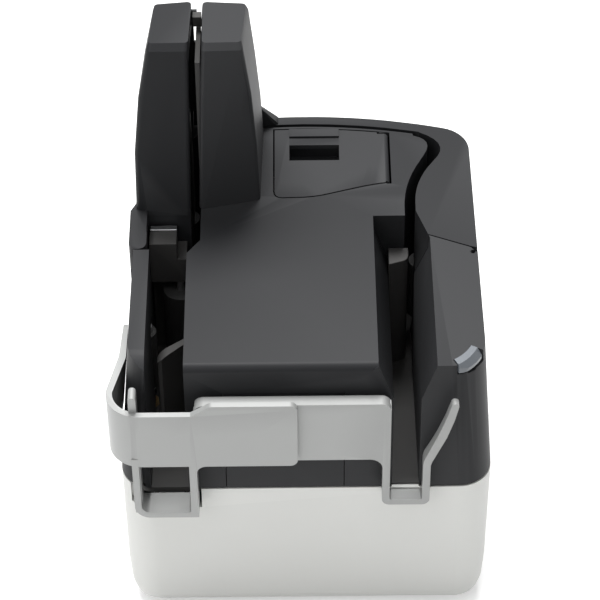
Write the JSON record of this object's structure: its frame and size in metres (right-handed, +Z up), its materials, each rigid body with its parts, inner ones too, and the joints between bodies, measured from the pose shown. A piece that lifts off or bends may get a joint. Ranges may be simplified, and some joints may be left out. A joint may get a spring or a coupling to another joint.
{
  "type": "desktop cheque scanner",
  "caption": "Desktop cheque scanner: feeder pocket, two tall scanning fins with a slot, exit pocket, hinged imprinter door, pull-out document trays and a light base under dark covers.",
  "frame": {"origin": "middle of the footprint's bounding box, on the table", "axes": "+Z up, -Y to the front where the trays are, +X to the exit pocket's side"},
  "size_m": [0.147, 0.1498, 0.2225],
  "materials": {
    "white_plastic": "fine satin texture",
    "black_plastic": "fine matte texture",
    "dark_plastic": "plain",
    "silver_plastic": "silver-grey satin",
    "button_lens": "light grey-blue, satin",
    "rubber": "matte",
    "steel": "plain",
    "bronze": "plain",
    "sensor_glass": "clear",
    "board": "green board"
  },
  "bodies": {
    "machine": {"base_shell": "white_plastic", "rubber_feet": "rubber", "base_screws": "steel", "chassis_frame": "dark_plastic", "front_panel": "black_plastic", "centre_cover": "black_plastic", "door_hinge_pin": "steel", "print_cartridge": "dark_plastic", "cartridge_cradle": "dark_plastic", "exit_cover_pin": "steel", "right_rear_cover": "black_plastic", "left_side_wall": "black_plastic", "unit_hinge_pin": "steel", "right_fin_cover": "black_plastic", "right_guide_plate": "dark_plastic", "slot_stop": "dark_plastic", "front_image_sensor": "dark_plastic", "front_sensor_glass": "sensor_glass", "magnetic_head": "steel", "exit_guide": "dark_plastic", "pusher_spring": "steel", "separator_bracket": "dark_plastic", "guide_strip": "steel", "retard_pin": "steel", "exit_pinch_pin": "steel", "shaft_bushes": "bronze", "upper_frame": "dark_plastic", "frame_screws": "steel", "motor": "steel", "motor_bracket": "steel", "drive_belt": "rubber", "pickup_belt": "rubber", "circuit_board": "board"},
    "feed_tray": {"feed_tray": "silver_plastic"},
    "eject_tray": {"eject_tray": "silver_plastic"},
    "imprinter_door": {"imprinter_door": "black_plastic"},
    "scan_unit": {"left_fin_cover": "black_plastic", "left_guide_plate": "dark_plastic", "rear_image_sensor": "dark_plastic", "rear_sensor_glass": "sensor_glass"},
    "exit_cover": {"right_front_cover": "black_plastic", "button_switch": "dark_plastic"},
    "power_button": {"power_button": "button_lens"},
    "pusher": {"document_pusher": "dark_plastic"},
    "motor_line": {"motor_pulley": "steel"},
    "feed_line": {"feed_roller": "rubber", "feed_shaft": "steel", "feed_pulley": "dark_plastic"},
    "corner_line": {"corner_roller": "rubber", "corner_shaft": "steel", "corner_pulley": "dark_plastic"},
    "exit_line": {"exit_roller": "rubber", "exit_shaft": "steel", "exit_pulley": "dark_plastic"},
    "pickup_line": {"pickup_roller": "rubber", "pickup_shaft": "steel", "pickup_pulley": "dark_plastic"},
    "exit_pinch": {"exit_pinch_roller": "rubber"},
    "corner_pinch": {"corner_pinch_roller": "rubber"},
    "retard": {"retard_roller": "rubber"}
  },
  "joints": [
    {"name": "feed_tray_slide", "type": "slide", "parent": "machine", "child": "feed_tray", "axis": [0, -1, 0], "range_m": [0, 0.04]},
    {"name": "eject_tray_slide", "type": "slide", "parent": "machine", "child": "eject_tray", "axis": [0, -1, 0], "range_m": [0, 0.04]},
    {"name": "imprinter_door_hinge", "type": "hinge", "parent": "machine", "child": "imprinter_door", "pos_m": [0.0342, 0.0469, 0.1427], "axis": [0, 0.9976, 0.0698], "range_deg": [0, 100]},
    {"name": "scan_unit_swing", "type": "hinge", "parent": "machine", "child": "scan_unit", "pos_m": [-0.0631, 0.0005, 0.1055], "axis": [0, 0, 1], "range_deg": [0, 20]},
    {"name": "exit_cover_swing", "type": "hinge", "parent": "machine", "child": "exit_cover", "pos_m": [0.06932, -0.0061, 0.1035], "axis": [-0.0733, 0, 0.9973], "range_deg": [0, 70]},
    {"name": "power_button_press", "type": "slide", "parent": "exit_cover", "child": "power_button", "axis": [0, 0, -1], "range_m": [0, 0.0008], "stiffness_N_per_m": 400, "springref_m": -0.0005},
    {"name": "pusher_slide", "type": "slide", "parent": "machine", "child": "pusher", "axis": [1, 0, 0], "range_m": [0, 0.009], "stiffness_N_per_m": 40, "springref_m": -0.002},
    {"name": "motor_spin", "type": "hinge", "parent": "machine", "child": "motor_line", "pos_m": [0.0015, -0.0161, 0.0955], "axis": [0, 0, 1], "continuous": true},
    {"name": "feed_spin", "type": "hinge", "parent": "machine", "child": "feed_line", "pos_m": [-0.03275, 0.0089, 0.0955], "axis": [0, 0, 1], "continuous": true},
    {"name": "corner_spin", "type": "hinge", "parent": "machine", "child": "corner_line", "pos_m": [-0.0286, 0.0513, 0.0955], "axis": [0, 0, 1], "continuous": true},
    {"name": "exit_spin", "type": "hinge", "parent": "machine", "child": "exit_line", "pos_m": [0.03535, 0.0239, 0.0955], "axis": [0, 0, 1], "continuous": true},
    {"name": "pickup_spin", "type": "hinge", "parent": "machine", "child": "pickup_line", "pos_m": [-0.0609, -0.0161, 0.0955], "axis": [0, 0, 1], "continuous": true},
    {"name": "exit_pinch_spin", "type": "hinge", "parent": "machine", "child": "exit_pinch", "pos_m": [0.04865, 0.0239, 0.0955], "axis": [0, 0, 1], "continuous": true},
    {"name": "corner_pinch_spin", "type": "hinge", "parent": "scan_unit", "child": "corner_pinch", "pos_m": [-0.04605, 0.0513, 0.0955], "axis": [0, 0, 1], "continuous": true},
    {"name": "retard_spin", "type": "hinge", "parent": "machine", "child": "retard", "pos_m": [-0.04785, 0.0085, 0.0955], "axis": [0, 0, 1], "continuous": true}
  ],
  "couplings": [
    {"joint": "eject_tray_slide", "follows": "feed_tray_slide", "ratio": 1},
    {"joint": "feed_spin", "follows": "motor_spin", "ratio": 1},
    {"joint": "corner_spin", "follows": "motor_spin", "ratio": 1},
    {"joint": "exit_spin", "follows": "motor_spin", "ratio": 1},
    {"joint": "pickup_spin", "follows": "motor_spin", "ratio": 1},
    {"joint": "exit_pinch_spin", "follows": "motor_spin", "ratio": -1.6}
  ]
}
